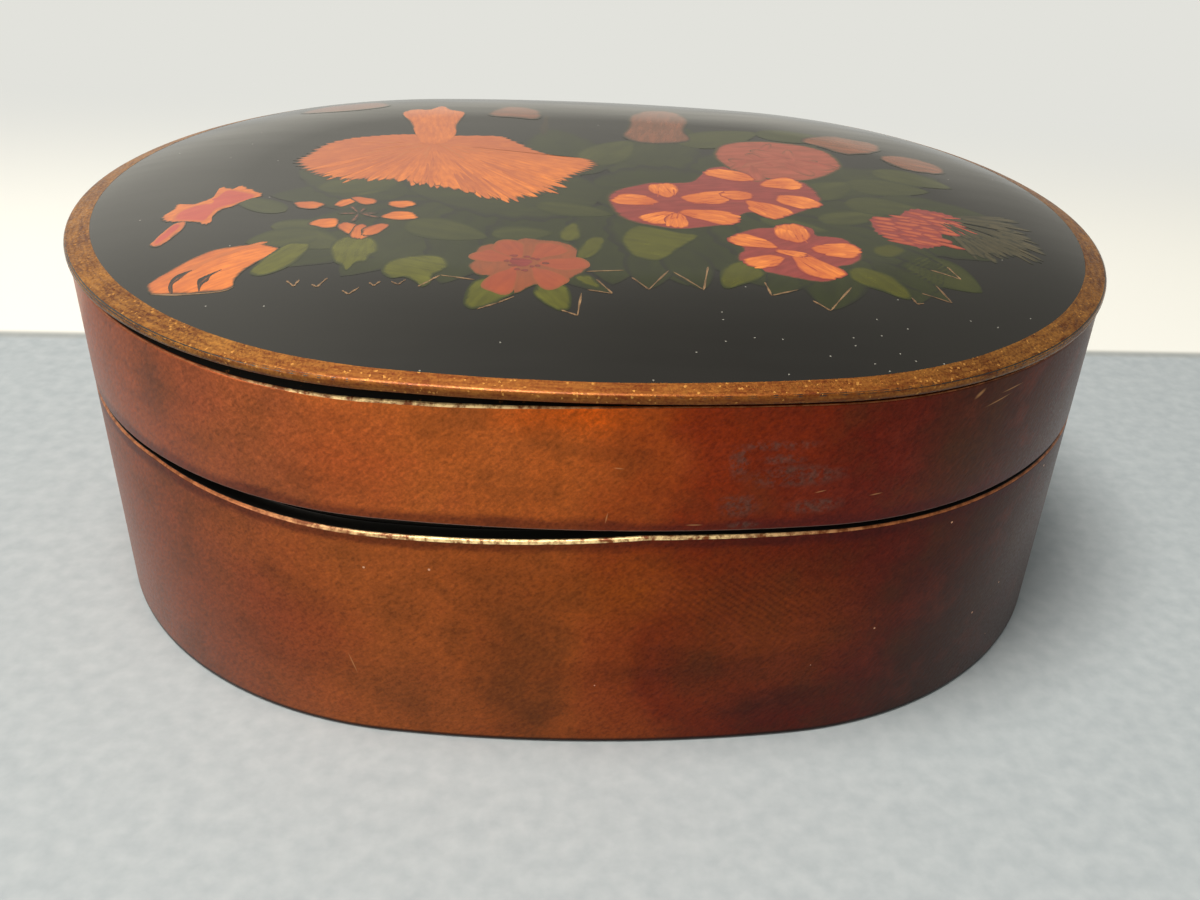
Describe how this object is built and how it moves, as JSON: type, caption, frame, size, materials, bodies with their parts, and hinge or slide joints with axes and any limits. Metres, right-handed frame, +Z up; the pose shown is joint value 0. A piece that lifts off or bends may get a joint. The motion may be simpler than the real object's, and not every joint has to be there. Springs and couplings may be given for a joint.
{
  "type": "oval lidded box",
  "caption": "Oval lacquered wooden box: bent strip walls, an inner liner that stands above the rim, and a lift-off lid with a low crowned top.",
  "frame": {"origin": "middle of the underside, on the surface that the box stands on", "axes": "+X along the box, -Y out of its front, +Z up through the lid"},
  "size_m": [0.1608, 0.1208, 0.0628],
  "materials": {
    "base_wood": "dark brown lacquer, satin",
    "copper_lacquer": "copper leaf under clear amber lacquer, glossy",
    "black_lacquer": "black lacquer, satin",
    "painted_black_lacquer": "black lacquer with painted flowers and a gold edge band, glossy"
  },
  "bodies": {
    "box": {"base_board": "base_wood", "body_wall": "copper_lacquer", "inner_liner": "black_lacquer"},
    "lid": {"lid_wall": "copper_lacquer", "lid_board": "painted_black_lacquer"}
  },
  "joints": [
    {"name": "lid_lift", "type": "slide", "parent": "box", "child": "lid", "axis": [0, 0, 1], "range_m": [0, 0.06]}
  ]
}
